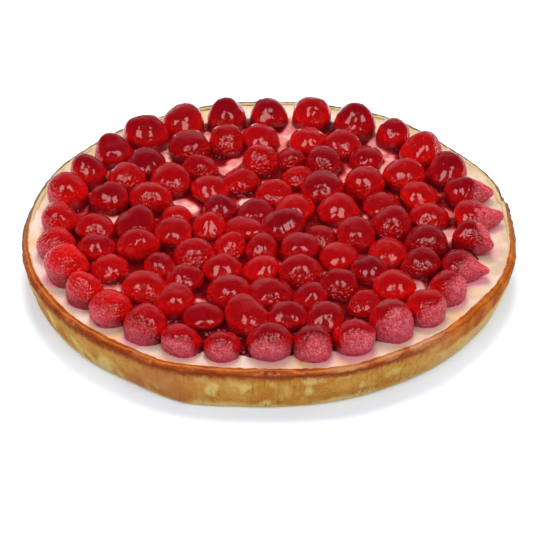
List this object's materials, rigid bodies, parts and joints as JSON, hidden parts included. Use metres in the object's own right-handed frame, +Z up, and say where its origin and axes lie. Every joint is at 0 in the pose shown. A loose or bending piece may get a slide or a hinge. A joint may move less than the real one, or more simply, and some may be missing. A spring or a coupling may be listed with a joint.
{
  "type": "raspberry tart",
  "caption": "Round uncut raspberry tart: golden pastry case filled level with custard, topped with rings of raspberries under clear red glaze.",
  "frame": {"origin": "middle of the underside of the pastry case, on the surface the tart rests on", "axes": "+Z up out of the filling; -Y towards the side where the outer berries come closest to the rim"},
  "size_m": [0.2686, 0.2671, 0.0439],
  "materials": {
    "pastry": "baked shortcrust, matt sides, browned glossy rim",
    "custard": "set custard, satin",
    "raspberry": "fresh berry under a thick glossy clear glaze, matt and downy where bare"
  },
  "bodies": {
    "root": {"crust": "pastry", "custard": "custard", "berries_outer_01": "raspberry", "berries_outer_02": "raspberry", "berries_outer_03": "raspberry", "berries_outer_04": "raspberry", "berries_outer_05": "raspberry", "berries_outer_06": "raspberry", "berries_outer_07": "raspberry", "berries_outer_08": "raspberry", "berries_outer_09": "raspberry", "berries_outer_10": "raspberry", "berries_outer_11": "raspberry", "berries_outer_12": "raspberry", "berries_outer_13": "raspberry", "berries_outer_14": "raspberry", "berries_outer_15": "raspberry", "berries_outer_16": "raspberry", "berries_outer_17": "raspberry", "berries_outer_18": "raspberry", "berries_outer_19": "raspberry", "berries_outer_20": "raspberry", "berries_outer_21": "raspberry", "berries_outer_22": "raspberry", "berries_outer_23": "raspberry", "berries_outer_24": "raspberry", "berries_outer_25": "raspberry", "berries_outer_26": "raspberry", "berries_outer_27": "raspberry", "berries_outer_28": "raspberry", "berries_outer_29": "raspberry", "berries_outer_30": "raspberry", "berries_second_01": "raspberry", "berries_second_02": "raspberry", "berries_second_03": "raspberry", "berries_second_04": "raspberry", "berries_second_05": "raspberry", "berries_second_06": "raspberry", "berries_second_07": "raspberry", "berries_second_08": "raspberry", "berries_second_09": "raspberry", "berries_third_01": "raspberry", "berries_third_02": "raspberry", "berries_third_03": "raspberry", "berries_third_04": "raspberry", "berries_third_05": "raspberry", "berries_third_06": "raspberry", "berries_third_07": "raspberry", "berries_third_08": "raspberry", "berries_fourth_01": "raspberry", "berries_fourth_02": "raspberry", "berries_fourth_03": "raspberry", "berries_fourth_04": "raspberry", "berries_fourth_05": "raspberry", "berries_fourth_06": "raspberry", "berries_fifth_01": "raspberry", "berries_fifth_02": "raspberry", "berries_fifth_03": "raspberry", "berries_fifth_04": "raspberry", "berries_middle_01": "raspberry"}
  },
  "joints": []
}
